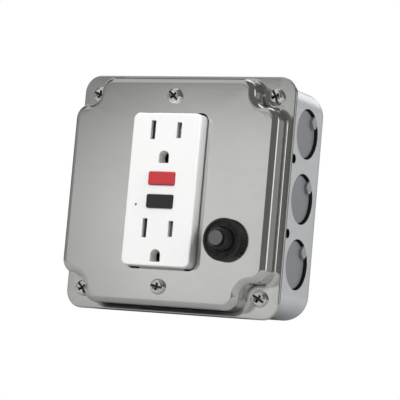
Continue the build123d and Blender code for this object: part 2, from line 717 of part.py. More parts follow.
tooth_depth = 0.5
teeth = []
for tooth in range(2 * nut_teeth):
    reach = nut_radius - (tooth % 2) * tooth_depth
    angle = pi * tooth / nut_teeth
    teeth.append((reach * cos(angle), reach * sin(angle)))
knurl = Pos(breaker_x, breaker_z) * make_face(Polyline(*teeth, close=True))
nut = plate(knurl, raise_front, nut_front)
nut &= fillet(front_edges(disc(breaker_x, breaker_z, nut_radius + 0.05, raise_front, nut_front)), 0.4)
nut -= disc(breaker_x, breaker_z, nut_radius - 1.3, nut_front - 0.6, nut_front + 1)
nut -= disc(breaker_x, breaker_z, nut_opening, nut_front - 2.4, nut_front + 1)
nut -= disc(breaker_x, breaker_z, bushing_radius + thread_clearance, raise_front - 1, nut_front + 1)
save("breaker_nut", nut)

collar_low = base_top + 11.0
plunger = disc(breaker_x, breaker_z, plunger_radius, collar_low - 4.0, bushing_end + plunger_stand)
plunger = fillet(front_edges(plunger), 0.3)
plunger += disc(breaker_x, breaker_z, 4.3, collar_low, collar_low + 2.0)
save("breaker_button", plunger)
save("breaker_spring", coil(Plane.XZ.offset(base_top) * Pos(breaker_x, breaker_z),
                            collar_low - base_top, 3.75, 0.3, 5))

# Push-on connectors and the two leads
boot_half = 3.9
boots = []
for z in spade_places:
    boot = bar(breaker_x - 1.9, breaker_x + 1.9, z - boot_half, z + boot_half,
               case_bottom - 11.5, case_bottom - 0.5)
    boot = fillet(boot.edges().filter_by(Axis.Y), 0.8)
    boots.append(boot - bar(breaker_x - spade_thick / 2, breaker_x + spade_thick / 2, z - spade_half,
                            z + spade_half, case_bottom - 7.9, case_bottom))
save("spade_connectors", *boots)
gap_x = (housing_width / 2 + x0) / 2 + 0.1
boot_height = case_bottom - 8.5
line_lead = lead([
    (breaker_x - 1.9, boot_height, spade_places[1]),
    (gap_x, boot_height, spade_places[1]),
    (gap_x, terminal_height, -terminal_z + 8.0),
    (housing_width / 2 - 1.7, terminal_height, -terminal_z + 4.7),
])
save("line_lead", line_lead)
tab_x, tab_z = earth_tab_at
side_x = -box_side / 2 + box_wall + 3.4
lead_high = strap_back - 1.2
earth_lead = lead([
    (barrel_end, lug_height, earth_screw_at[1]),
    (side_x, lug_height, earth_screw_at[1]),
    (side_x - 0.4, lug_height + 15.0, earth_screw_at[1] - 3.0),
    (side_x + 0.8, lug_height + 29.0, earth_screw_at[1] - 5.5),
    (side_x + 6.0, lead_high - 3.0, tab_z),
    (tab_x - 4.05, lead_high, tab_z),
])
save("earth_lead", earth_lead)
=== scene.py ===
# %% [markdown]
# # A boxed receptacle with a push-to-reset breaker
# The frame is the finished engineering model: every node already sits at its real place, in metres,
# with the origin on the wall behind the box. This lesson gives that frame its looks.
# The camera comes first, because every later choice is judged through it.

# %% Load the frame
import json
import math
from math import cos, sin, radians

import bmesh
import bpy
from mathutils import Matrix, Vector


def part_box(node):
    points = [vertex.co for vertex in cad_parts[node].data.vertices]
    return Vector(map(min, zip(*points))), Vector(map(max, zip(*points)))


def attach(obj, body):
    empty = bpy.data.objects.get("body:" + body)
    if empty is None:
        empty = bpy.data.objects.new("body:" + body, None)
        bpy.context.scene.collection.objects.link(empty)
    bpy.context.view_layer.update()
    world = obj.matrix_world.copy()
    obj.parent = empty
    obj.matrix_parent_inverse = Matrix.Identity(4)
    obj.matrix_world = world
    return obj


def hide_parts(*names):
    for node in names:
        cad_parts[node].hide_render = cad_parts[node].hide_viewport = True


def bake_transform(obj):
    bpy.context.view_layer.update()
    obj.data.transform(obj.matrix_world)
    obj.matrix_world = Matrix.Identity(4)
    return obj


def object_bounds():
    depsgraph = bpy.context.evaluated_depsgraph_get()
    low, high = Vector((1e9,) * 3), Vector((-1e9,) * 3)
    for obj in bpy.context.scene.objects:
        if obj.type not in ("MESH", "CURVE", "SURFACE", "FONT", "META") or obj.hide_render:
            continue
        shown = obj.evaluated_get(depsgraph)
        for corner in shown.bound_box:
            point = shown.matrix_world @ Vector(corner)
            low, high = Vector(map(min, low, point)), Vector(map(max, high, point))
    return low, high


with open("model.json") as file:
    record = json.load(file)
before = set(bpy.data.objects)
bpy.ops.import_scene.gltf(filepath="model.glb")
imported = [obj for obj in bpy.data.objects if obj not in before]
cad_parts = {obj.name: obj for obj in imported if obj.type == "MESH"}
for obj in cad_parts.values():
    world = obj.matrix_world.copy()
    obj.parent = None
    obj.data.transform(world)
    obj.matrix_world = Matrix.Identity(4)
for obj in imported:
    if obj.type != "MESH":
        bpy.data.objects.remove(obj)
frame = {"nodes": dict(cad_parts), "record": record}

cad_low, cad_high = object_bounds()
cad_box = [list(map(float, cad_low)), list(map(float, cad_high))]
scene = bpy.context.scene
print("nodes", len(frame["nodes"]), "box", cad_box)

# %% [markdown]
# ## Camera
# A product shot uses a long lens from far away, so parallel edges stay nearly parallel. The camera stands
# a little to the right of the object, slightly below its middle, and is rolled by a few degrees, which
# makes the box lean back. Writing the camera as three angles and a distance keeps each one adjustable.

# %% Place the camera
mm = 0.001
camera_azimuth = radians(27.56)
camera_elevation = radians(-5.35)
camera_roll = radians(5.08)
camera_distance = 0.8479
camera_target = Vector((10.65 * mm, -39.7 * mm, -2.18 * mm))

back = Vector((sin(camera_azimuth) * cos(camera_elevation),
               -cos(camera_azimuth) * cos(camera_elevation),
               sin(camera_elevation)))
level = Vector((0, 0, 1)).cross(back).normalized()
upright = back.cross(level)
right = cos(camera_roll) * level + sin(camera_roll) * upright
above = cos(camera_roll) * upright - sin(camera_roll) * level
turn = Matrix((right, above, back)).transposed()

camera_data = bpy.data.cameras.new("studio_camera")
camera_data.lens = 175.1
camera_data.sensor_width = 36.0
camera_data.clip_start = 0.01
camera = bpy.data.objects.new("studio_camera", camera_data)
camera.matrix_world = Matrix.Translation(camera_target + camera_distance * back) @ turn.to_4x4()
scene.collection.objects.link(camera)
scene.camera = camera
print("camera at", [round(v, 3) for v in camera.location])

# %% [markdown]
# ## Floor, sky and lamps
# The floor lies just under the object. It shows only its upper face: seen from below, it lets the view
# through, so a low camera still sees the whole object. Bare metal has no colour of its own and mirrors
# the studio, so the sky carries the soft change from dark to light that gives the cover its sheen.

# %% Floor
view_settings = scene.view_settings
view_settings.view_transform = "Standard"
view_settings.look = "None"

floor_half = 3.0
floor_level = cad_box[0][2] - 0.2 * mm
floor_mesh = bpy.data.meshes.new("floor")
floor_mesh.from_pydata(
    [(sx * floor_half, sy * floor_half, floor_level) for sx, sy in ((-1, -1), (1, -1), (1, 1), (-1, 1))],
    [], [(0, 1, 2, 3)])
floor = bpy.data.objects.new("floor", floor_mesh)
scene.collection.objects.link(floor)

floor_mat = bpy.data.materials.new("floor_paper")
floor_mat.use_nodes = True
nodes, links = floor_mat.node_tree.nodes, floor_mat.node_tree.links
paper = nodes["Principled BSDF"]
paper.inputs["Base Color"].default_value = (0.40, 0.40, 0.40, 1)
paper.inputs["Roughness"].default_value = 0.9
clear = nodes.new("ShaderNodeBsdfTransparent")
side = nodes.new("ShaderNodeNewGeometry")
pick = nodes.new("ShaderNodeMixShader")
links.new(side.outputs["Backfacing"], pick.inputs["Fac"])
links.new(paper.outputs["BSDF"], pick.inputs[1])
links.new(clear.outputs["BSDF"], pick.inputs[2])
links.new(pick.outputs["Shader"], nodes["Material Output"].inputs["Surface"])
floor_mesh.materials.append(floor_mat)

# %% Sky
world = bpy.data.worlds.new("studio")
world.use_nodes = True
scene.world = world
sky_tree = world.node_tree
sky_tree.nodes.clear()
look = sky_tree.nodes.new("ShaderNodeTexCoord").outputs["Generated"]


def add_math(tree, operation, a, b, clamp=False):
    """A Math node whose two inputs are sockets or numbers."""
    node = tree.nodes.new("ShaderNodeMath")
    node.operation = operation
    node.use_clamp = clamp
    for index, value in enumerate((a, b)):
        if isinstance(value, (int, float)):
            node.inputs[index].default_value = value
        else:
            tree.links.new(value, node.inputs[index])
    return node.outputs["Value"]


def sky_fade(value, dark_at, light_at):
    """A soft step from 0 to 1 between two places."""
    node = sky_tree.nodes.new("ShaderNodeMapRange")
    node.interpolation_type = "SMOOTHSTEP"
    node.inputs["From Min"].default_value = dark_at
    node.inputs["From Max"].default_value = light_at
    sky_tree.links.new(value, node.inputs["Value"])
    return node.outputs["Result"]


parts_of_look = sky_tree.nodes.new("ShaderNodeSeparateXYZ")
sky_tree.links.new(look, parts_of_look.inputs["Vector"])
look_x, look_y, look_z = (parts_of_look.outputs[name] for name in "XYZ")
ahead = sky_fade(look_y, 0.05, -0.15)
behind = sky_fade(look_y, -0.05, 0.15)


def card(*fades):
    """A lit card in the sky: the product of its soft edges."""
    mask = fades[0]
    for fade in fades[1:]:
        mask = add_math(sky_tree, "MULTIPLY", mask, fade)
    return mask


# Each card: its brightness and the soft edges that bound it.
sideways = add_math(sky_tree, "ADD", look_x, 0.45)
slope = add_math(sky_tree, "ADD", look_z, add_math(sky_tree, "MULTIPLY", sideways, -0.5))
sky_cards = [
    (0.70, card(ahead, sky_fade(look_x, -0.375, -0.405), sky_fade(look_x, -0.56, -0.485),
                sky_fade(slope, 0.185, 0.13), sky_fade(look_z, 0.166, 0.150),
                sky_fade(look_z, 0.008, 0.030))),
    (0.16, card(ahead, sky_fade(look_x, -0.49, -0.58), sky_fade(look_z, 0.6, 0.3))),
    (0.42, card(sky_fade(look_z, 0.18, 0.30), sky_fade(look_x, 0.0, -0.3), sky_fade(look_x, -0.64, -0.52),
                sky_fade(look_y, 0.35, 0.0))),
    (0.90, card(sky_fade(look_y, 0.4, 0.55), sky_fade(look_x, -0.50, -0.56), sky_fade(look_z, 0.13, 0.19))),
    (0.90, card(sky_fade(look_y, 0.05, 0.20), sky_fade(look_y, 0.60, 0.45), sky_fade(look_x, 0.6, 0.75),
                sky_fade(look_z, 0.55, 0.30), sky_fade(look_z, -0.4, -0.1))),
    (0.14, card(behind, sky_fade(look_x, 0.20, 0.34), sky_fade(look_z, 0.30, 0.19))),
    (1.10, card(behind, sky_fade(look_z, 0.33, 0.42), sky_fade(look_x, -0.35, -0.2),
                sky_fade(look_x, 0.25, 0.12))),
]
sky_base = 0.13
light = sky_base
for brightness, mask in sky_cards:
    light = add_math(sky_tree, "ADD", add_math(sky_tree, "MULTIPLY", mask, brightness), light)

out = sky_tree.nodes.new("ShaderNodeOutputWorld")
plain = sky_tree.nodes.new("ShaderNodeBackground")
plain.inputs["Color"].default_value = (1, 1, 1, 1)
studio = sky_tree.nodes.new("ShaderNodeBackground")
sky_tree.links.new(light, studio.inputs["Strength"])
studio.inputs["Color"].default_value = (1.0, 1.0, 0.995, 1)
path = sky_tree.nodes.new("ShaderNodeLightPath")
seen = sky_tree.nodes.new("ShaderNodeMixShader")
sky_tree.links.new(path.outputs["Is Camera Ray"], seen.inputs["Fac"])
sky_tree.links.new(studio.outputs["Background"], seen.inputs[1])
sky_tree.links.new(plain.outputs["Background"], seen.inputs[2])
sky_tree.links.new(seen.outputs["Shader"], out.inputs["Surface"])


# %% Lamps
def soft_lamp(name, place, size, power):
    """A square lamp that faces the middle of the object and stays out of its mirror images."""
    data = bpy.data.lights.new(name, "AREA")
    data.shape = "SQUARE"
    data.size = size
    data.energy = power
    lamp = bpy.data.objects.new(name, data)
    lamp.location = place
    lamp.rotation_euler = (Vector((0, -0.03, 0)) - Vector(place)).to_track_quat("-Z", "Y").to_euler()
    lamp.visible_glossy = False
    scene.collection.objects.link(lamp)


soft_lamp("key_lamp", (-0.25, -1.1, 0.9), 0.7, 17.0)
soft_lamp("side_lamp", (1.2, -0.1, 0.6), 0.7, 13.0)
soft_lamp("fill_lamp", (-0.5, -1.2, -0.2), 0.6, 5.0)

# %% [markdown]
# ## Shared surface effects
# Real finishes differ in a few ways only: a fine grain, soft clouds from handling, and bright worn edges.
# Each effect is a node group with named inputs, made once and tuned in each material. All of them read
# object coordinates, which are metres here, so a scale of 1000 means about one feature a millimetre.


# %% A small toolbox for node groups
def new_group(name, inputs, outputs):
    tree = bpy.data.node_groups.new(name, "ShaderNodeTree")
    for label, value in inputs:
        tree.interface.new_socket(label, in_out="INPUT", socket_type="NodeSocketFloat").default_value = value
    for label in outputs:
        tree.interface.new_socket(label, in_out="OUTPUT", socket_type="NodeSocketFloat")
    return tree, tree.nodes.new("NodeGroupInput"), tree.nodes.new("NodeGroupOutput")


def add_noise(tree, vector, scale, detail, roughness):
    node = tree.nodes.new("ShaderNodeTexNoise")
    tree.links.new(vector, node.inputs["Vector"])
    tree.links.new(scale, node.inputs["Scale"])
    node.inputs["Detail"].default_value = detail
    node.inputs["Roughness"].default_value = roughness
    return node.outputs["Fac"]


# %% Grain: a fine random height, stretched along X if asked
grain, gin, gout = new_group("surface_grain", [("Scale", 1500.0), ("Stretch", 1.0)], ["Height", "Tone"])
coords = grain.nodes.new("ShaderNodeTexCoord")
squeeze = grain.nodes.new("ShaderNodeMapping")
factors = grain.nodes.new("ShaderNodeCombineXYZ")
grain.links.new(gin.outputs["Stretch"], factors.inputs["X"])
factors.inputs["Y"].default_value = 1.0
factors.inputs["Z"].default_value = 1.0
grain.links.new(factors.outputs["Vector"], squeeze.inputs["Scale"])
grain.links.new(coords.outputs["Object"], squeeze.inputs["Vector"])
fine = add_noise(grain, squeeze.outputs["Vector"], gin.outputs["Scale"], 5.0, 0.6)
wide_scale = add_math(grain, "MULTIPLY", gin.outputs["Scale"], 0.23)
wide = add_noise(grain, squeeze.outputs["Vector"], wide_scale, 3.0, 0.5)
grain.links.new(fine, gout.inputs["Height"])
grain.links.new(add_math(grain, "MULTIPLY", add_math(grain, "ADD", fine, wide), 0.5), gout.inputs["Tone"])

# %% Clouds: soft patches left by rolling, plating and hands
clouds, cin, cout = new_group("handling_clouds", [("Scale", 60.0), ("Contrast", 1.0)], ["Cloud"])
coords = clouds.nodes.new("ShaderNodeTexCoord")
patch = add_noise(clouds, coords.outputs["Object"], cin.outputs["Scale"], 3.0, 0.5)
centred = add_math(clouds, "SUBTRACT", patch, 0.5)
scaled = add_math(clouds, "MULTIPLY", centred, cin.outputs["Contrast"])
clouds.links.new(add_math(clouds, "ADD", scaled, 0.5, clamp=True), cout.inputs["Cloud"])

# %% Edge wear: where a rounded normal differs from the true one, there is an edge
wear, win, wout = new_group("edge_wear", [("Radius", 0.0004), ("Gain", 6.0), ("Breakup", 900.0)], ["Mask"])
true_normal = wear.nodes.new("ShaderNodeNewGeometry")
rounded = wear.nodes.new("ShaderNodeBevel")
rounded.samples = 4
wear.links.new(win.outputs["Radius"], rounded.inputs["Radius"])
facing = wear.nodes.new("ShaderNodeVectorMath")
facing.operation = "DOT_PRODUCT"
wear.links.new(true_normal.outputs["Normal"], facing.inputs[0])
wear.links.new(rounded.outputs["Normal"], facing.inputs[1])
edge = add_math(wear, "SUBTRACT", 1.0, facing.outputs["Value"])
edge = add_math(wear, "MULTIPLY", edge, win.outputs["Gain"], clamp=True)
coords = wear.nodes.new("ShaderNodeTexCoord")
spots = add_noise(wear, coords.outputs["Object"], win.outputs["Breakup"], 3.0, 0.6)
spots = add_math(wear, "MULTIPLY", add_math(wear, "SUBTRACT", spots, 0.3), 2.2, clamp=True)
wear.links.new(add_math(wear, "MULTIPLY", edge, spots), wout.inputs["Mask"])

print("groups", [g.name for g in bpy.data.node_groups])

# %% [markdown]
# ## One recipe for metals and one for plastics
# A metal and a plastic share the same wiring: a base colour that drifts between two tones with the clouds
# and the grain, a roughness that follows, a bump from the grain, and a third tone on worn edges. The
# numbers that stay the same all over a surface are typed on the shader's own sockets.


# %% The finish recipe
def mix_colour(tree, factor, first, second):
    """Mix two colours. Each is a socket or a colour."""
    node = tree.nodes.new("ShaderNodeMix")
    node.data_type = "RGBA"
    tree.links.new(factor, node.inputs["Factor"])
    for socket, value in ((node.inputs[6], first), (node.inputs[7], second)):
        if isinstance(value, tuple):
            socket.default_value = (*value, 1)
        else:
            tree.links.new(value, socket)
    return node.outputs[2]


def add_group(tree, group, **values):
    node = tree.nodes.new("ShaderNodeGroup")
    node.node_tree = group
    for label, value in values.items():
        node.inputs[label].default_value = value
    return node


def spread(tree, value, low, high):
    """Map a 0 to 1 value to the range low to high."""
    node = tree.nodes.new("ShaderNodeMapRange")
    tree.links.new(value, node.inputs["Value"])
    node.inputs["To Min"].default_value = low
    node.inputs["To Max"].default_value = high
    return node.outputs["Result"]


def finish(name, dark, light, edge, metallic, roughness, grain_scale=1500.0, stretch=1.0, bump=0.05,
           cloud_scale=60.0, cloud_contrast=1.0, wear_radius=0.0004, wear_gain=5.0, coat=0.0,
           rough_swing=0.06):
    mat = bpy.data.materials.new(name)
    mat.use_nodes = True
    tree = mat.node_tree
    shader = tree.nodes["Principled BSDF"]
    cloud = add_group(tree, clouds, Scale=cloud_scale, Contrast=cloud_contrast).outputs["Cloud"]
    grains = add_group(tree, grain, Scale=grain_scale, Stretch=stretch)
    worn = add_group(tree, wear, Radius=wear_radius, Gain=wear_gain).outputs["Mask"]
    drift = add_math(tree, "MULTIPLY", add_math(tree, "ADD", cloud, grains.outputs["Tone"]), 0.5)
    base = mix_colour(tree, drift, dark, light)
    base = mix_colour(tree, worn, base, edge)
    tree.links.new(base, shader.inputs["Base Color"])
    tree.links.new(spread(tree, drift, roughness + rough_swing, roughness - rough_swing),
                   shader.inputs["Roughness"])
    shader.inputs["Metallic"].default_value = metallic
    shader.inputs["Coat Weight"].default_value = coat
    relief = tree.nodes.new("ShaderNodeBump")
    relief.inputs["Strength"].default_value = bump
    relief.inputs["Distance"].default_value = 0.0002
    tree.links.new(grains.outputs["Height"], relief.inputs["Height"])
    tree.links.new(relief.outputs["Normal"], shader.inputs["Normal"])
    return mat


# %% [markdown]
# ## The finishes
# Most finishes are named after the record's slot that they serve. The cover is satin plated sheet, the box
# is bright galvanised sheet, the fasteners are bright zinc, and the mouldings are satin plastics. Five more
# belong to single faces: sheared_rim_painted_shade, knockout_disc_painted_shade, tab_zinc, recess_shadow and breaker_end_painted_light.
# Four of them hold painted light: the knockout rims, the pushed discs and the screw recesses are painted
# darker as painted shade, and the button's end is painted lighter as painted light.

# %% Metals
finishes = {}
finishes["cover_steel"] = finish(
    "cover_steel", (0.68, 0.69, 0.665), (0.77, 0.78, 0.755), (0.80, 0.80, 0.79), 1.0, 0.13,
    grain_scale=2600.0, stretch=0.35, bump=0.02, cloud_scale=28.0, cloud_contrast=1.2, wear_gain=1.0,
    rough_swing=0.02)
finishes["galvanised_box"] = finish(
    "galvanised_box", (0.60, 0.62, 0.64), (0.76, 0.78, 0.795), (0.80, 0.82, 0.83), 0.45, 0.26,
    grain_scale=1800.0, bump=0.04, cloud_scale=45.0, cloud_contrast=1.6, wear_gain=1.5)
# Painted shade: the rims of the knockout holes are painted almost black.
finishes["sheared_rim_painted_shade"] = finish(
    "sheared_rim_painted_shade", (0.020, 0.020, 0.021), (0.045, 0.045, 0.047), (0.30, 0.30, 0.31), 0.6, 0.45,
    grain_scale=3000.0, bump=0.15, cloud_scale=300.0, wear_radius=0.0003, wear_gain=2.0)
# Painted shade: the pushed knockout discs are painted darker than the box.
finishes["knockout_disc_painted_shade"] = finish(
    "knockout_disc_painted_shade", (0.30, 0.315, 0.335), (0.36, 0.37, 0.385), (0.45, 0.46, 0.47), 0.45, 0.30,
    grain_scale=1800.0, bump=0.05, cloud_scale=60.0, cloud_contrast=1.2, wear_gain=1.0)
finishes["tab_zinc"] = finish(
    "tab_zinc", (0.36, 0.37, 0.385), (0.47, 0.48, 0.49), (0.60, 0.61, 0.62), 0.45, 0.30,
    grain_scale=2200.0, bump=0.06, cloud_scale=60.0, wear_gain=1.0)
finishes["bright_screw"] = finish(
    "bright_screw", (0.88, 0.88, 0.87), (0.95, 0.95, 0.94), (0.96, 0.96, 0.95), 1.0, 0.09,
    grain_scale=3000.0, bump=0.015, cloud_scale=300.0, rough_swing=0.03)
# Painted light: the button's end face is painted lighter than its black side.
finishes["breaker_end_painted_light"] = finish(
    "breaker_end_painted_light", (0.085, 0.085, 0.083), (0.125, 0.125, 0.122), (0.20, 0.20, 0.20), 0.0, 0.42,
    grain_scale=1800.0, bump=0.12, cloud_scale=240.0, wear_radius=0.0003, wear_gain=1.5)
# Painted shade: the screw recesses are painted darker than the crown.
finishes["recess_shadow"] = finish(
    "recess_shadow", (0.030, 0.030, 0.030), (0.09, 0.09, 0.09), (0.6, 0.6, 0.6), 0.8, 0.30,
    grain_scale=3000.0, bump=0.05, cloud_scale=900.0, wear_radius=0.0002, wear_gain=2.0)
finishes["silver_screw"] = finish(
    "silver_screw", (0.70, 0.69, 0.66), (0.84, 0.83, 0.80), (0.92, 0.91, 0.88), 1.0, 0.22,
    grain_scale=3000.0, bump=0.04, cloud_scale=300.0)
finishes["strap_steel"] = finish(
    "strap_steel", (0.52, 0.53, 0.52), (0.66, 0.67, 0.66), (0.80, 0.80, 0.79), 1.0, 0.36,
    grain_scale=1600.0, stretch=0.2, bump=0.08, cloud_scale=120.0)
finishes["spring_steel"] = finish(
    "spring_steel", (0.40, 0.40, 0.41), (0.55, 0.55, 0.56), (0.72, 0.72, 0.73), 1.0, 0.28,
    grain_scale=4000.0, bump=0.04, cloud_scale=400.0)
finishes["brass"] = finish(
    "brass", (0.58, 0.40, 0.15), (0.76, 0.56, 0.25), (0.90, 0.73, 0.42), 1.0, 0.28,
    grain_scale=2200.0, stretch=0.3, bump=0.05, cloud_scale=150.0)
finishes["copper_winding"] = finish(
    "copper_winding", (0.48, 0.17, 0.06), (0.68, 0.30, 0.12), (0.80, 0.42, 0.20), 0.9, 0.26,
    grain_scale=3000.0, bump=0.04, cloud_scale=250.0, coat=0.3)
finishes["earth_green"] = finish(
    "earth_green", (0.02, 0.22, 0.07), (0.05, 0.36, 0.13), (0.40, 0.50, 0.36), 0.8, 0.30,
    grain_scale=2500.0, bump=0.05, cloud_scale=200.0)

# %% Plastics
finishes["white_plastic"] = finish(
    "white_plastic", (0.85, 0.85, 0.845), (0.89, 0.89, 0.885), (0.93, 0.93, 0.93), 0.0, 0.38,
    grain_scale=4200.0, bump=0.05, cloud_scale=40.0, wear_gain=0.5)
finishes["reset_red"] = finish(
    "reset_red", (0.47, 0.030, 0.038), (0.58, 0.050, 0.058), (0.72, 0.15, 0.15), 0.0, 0.40,
    grain_scale=4200.0, bump=0.06, cloud_scale=120.0, wear_gain=1.5)
finishes["test_black"] = finish(
    "test_black", (0.016, 0.016, 0.017), (0.026, 0.026, 0.027), (0.09, 0.09, 0.09), 0.0, 0.42,
    grain_scale=4200.0, bump=0.08, cloud_scale=120.0, wear_gain=1.5)
finishes["shutter_grey"] = finish(
    "shutter_grey", (0.14, 0.14, 0.14), (0.20, 0.20, 0.20), (0.28, 0.28, 0.28), 0.0, 0.5,
    grain_scale=4200.0, bump=0.06)
finishes["housing_grey"] = finish(
    "housing_grey", (0.020, 0.020, 0.021), (0.032, 0.032, 0.033), (0.09, 0.09, 0.09), 0.0, 0.45,
    grain_scale=3000.0, bump=0.10, cloud_scale=80.0)
finishes["breaker_black"] = finish(
    "breaker_black", (0.008, 0.008, 0.008), (0.014, 0.014, 0.014), (0.06, 0.06, 0.06), 0.0, 0.36,
    grain_scale=3600.0, bump=0.10, cloud_scale=200.0, wear_radius=0.0002, wear_gain=3.0)
finishes["board_green"] = finish(
    "board_green", (0.020, 0.15, 0.055), (0.045, 0.24, 0.10), (0.45, 0.42, 0.25), 0.0, 0.3,
    grain_scale=900.0, bump=0.10, cloud_scale=300.0, coat=0.4)
finishes["ring_black"] = finish(
    "ring_black", (0.025, 0.025, 0.03), (0.06, 0.06, 0.07), (0.15, 0.15, 0.15), 0.0, 0.35,
    grain_scale=1500.0, bump=0.15, cloud_scale=200.0)
finishes["clear_guide"] = finish(
    "clear_guide", (0.10, 0.11, 0.10), (0.18, 0.19, 0.18), (0.4, 0.4, 0.4), 0.0, 0.12,
    grain_scale=3000.0, bump=0.02, cloud_scale=300.0)
finishes["lead_black"] = finish(
    "lead_black", (0.025, 0.025, 0.026), (0.040, 0.040, 0.041), (0.12, 0.12, 0.12), 0.0, 0.35,
    grain_scale=3000.0, bump=0.05, cloud_scale=200.0)
finishes["lead_green"] = finish(
    "lead_green", (0.015, 0.20, 0.055), (0.030, 0.30, 0.090), (0.10, 0.40, 0.16), 0.0, 0.35,
    grain_scale=3000.0, bump=0.05, cloud_scale=200.0)
print("finishes", len(finishes))

# %% [markdown]
# ## Smooth bodies from the engineering meshes
# The frame's meshes are loose triangles, exact in shape but faceted. A copy is welded, its real corners
# are marked sharp, and its normals are weighted by face area, so broad flats stay flat and rounded
# corners shade smoothly. The copy then stands in for the node.

# %% Weld, mark corners and weight the normals
slot_of = {row["node"]: row["material_slot"] for row in frame["record"]["subparts"]}
body_of = {node: body for body, members in frame["record"]["behaviour"]["bodies"].items() for node in members}
weld_distance = 1e-6


def weighted(mesh, crease=32.0):
    """Smooth shading with sharp corners, and normals that favour large faces."""
    form = bmesh.new()
    form.from_mesh(mesh)
    bmesh.ops.remove_doubles(form, verts=form.verts, dist=weld_distance)
    for face in form.faces:
        face.smooth = True
    for line in form.edges:
        line.smooth = line.is_manifold and line.calc_face_angle(0.0) < radians(crease)
    form.to_mesh(mesh)
    form.free()
    helper = bpy.data.objects.new("helper", mesh)
    scene.collection.objects.link(helper)
    modifier = helper.modifiers.new("weights", "WEIGHTED_NORMAL")
    modifier.keep_sharp = True
    modifier.weight = 80
    bpy.context.view_layer.update()
    shaped = bpy.data.meshes.new_from_object(helper.evaluated_get(bpy.context.evaluated_depsgraph_get()))
    bpy.data.objects.remove(helper)
    return shaped


def install(name, mesh, nodes):
    """Show a finished mesh in place of its nodes, on their body and in their finish."""
    first = nodes[0]
    mesh.name = name
    mesh.materials.clear()
    mesh.materials.append(finishes[slot_of[first]])
    piece = bpy.data.objects.new(name, mesh)
    scene.collection.objects.link(piece)
    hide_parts(*nodes)
    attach(piece, body_of[first])
    return piece


def smooth_node(node):
    """The plain case: the node's own mesh, welded and smoothed."""
    install(node + "_smooth", weighted(frame["nodes"][node].data.copy()), [node])


custom_nodes = {"cover_screws", "device_screws", "breaker_nut"}
for node in sorted(set(frame["nodes"]) - custom_nodes):
    smooth_node(node)
print("smoothed", len(frame["nodes"]) - len(custom_nodes))

# %% [markdown]
# ## Screws
# A bright pan head shows three things: a rolled shoulder that catches the sky, a flat crown, and a deep
# recess for two kinds of driver. One screw is modelled standing at the origin: its profile is spun round,
# then a cross and a slot are cut away. Geometry Nodes then put a copy at each place, each turned by its
# own angle, as screws that were driven by hand end up.


# %% Tools: spin a profile, cut with a boolean, place copies
def spun(name, profile, steps=48):
    """A closed body of revolution about Z from radius and height pairs. It starts and ends on the axis."""
    form = bmesh.new()
    rings = []
    for radius, height in profile:
        if radius == 0:
            rings.append([form.verts.new((0, 0, height))])
        else:
            rings.append([form.verts.new((radius * cos(a), radius * sin(a), height))
                          for a in (2 * math.pi * k / steps for k in range(steps))])
    for lower, upper in zip(rings, rings[1:]):
        for k in range(steps):
            n = (k + 1) % steps
            if len(lower) == 1:
                form.faces.new((lower[0], upper[n], upper[k]))
            elif len(upper) == 1:
                form.faces.new((lower[k], lower[n], upper[0]))
            else:
                form.faces.new((lower[k], lower[n], upper[n], upper[k]))
    bmesh.ops.recalc_face_normals(form, faces=form.faces)
    mesh = bpy.data.meshes.new(name)
    form.to_mesh(mesh)
    form.free()
    return mesh


def block(low, high, taper=1.0):
    """A block between two corners, with its low end narrowed by the taper."""
    mesh = bpy.data.meshes.new("block")
    middle = [(low[k] + high[k]) / 2 for k in range(3)]
    points = []
    for z, grow in ((low[2], taper), (high[2], 1.0)):
        for x, y in ((low[0], low[1]), (high[0], low[1]), (high[0], high[1]), (low[0], high[1])):
            points.append((middle[0] + (x - middle[0]) * grow, middle[1] + (y - middle[1]) * grow, z))
    mesh.from_pydata(points, [], [(3, 2, 1, 0), (4, 5, 6, 7), (0, 1, 5, 4), (1, 2, 6, 5), (2, 3, 7, 6),
                                  (3, 0, 4, 7)])
    return mesh


def cut_away(mesh, cutters):
    """Take the cutters out of a mesh with exact booleans."""
    body = bpy.data.objects.new("body", mesh)
    scene.collection.objects.link(body)
    helpers = []
    for cutter in cutters:
        tool = bpy.data.objects.new("tool", cutter)
        scene.collection.objects.link(tool)
        step = body.modifiers.new("cut", "BOOLEAN")
        step.operation = "DIFFERENCE"
        step.solver = "EXACT"
        step.object = tool
        helpers.append(tool)
    bpy.context.view_layer.update()
    result = bpy.data.meshes.new_from_object(body.evaluated_get(bpy.context.evaluated_depsgraph_get()))
    for thing in (body, *helpers):
        bpy.data.objects.remove(thing)
    return result


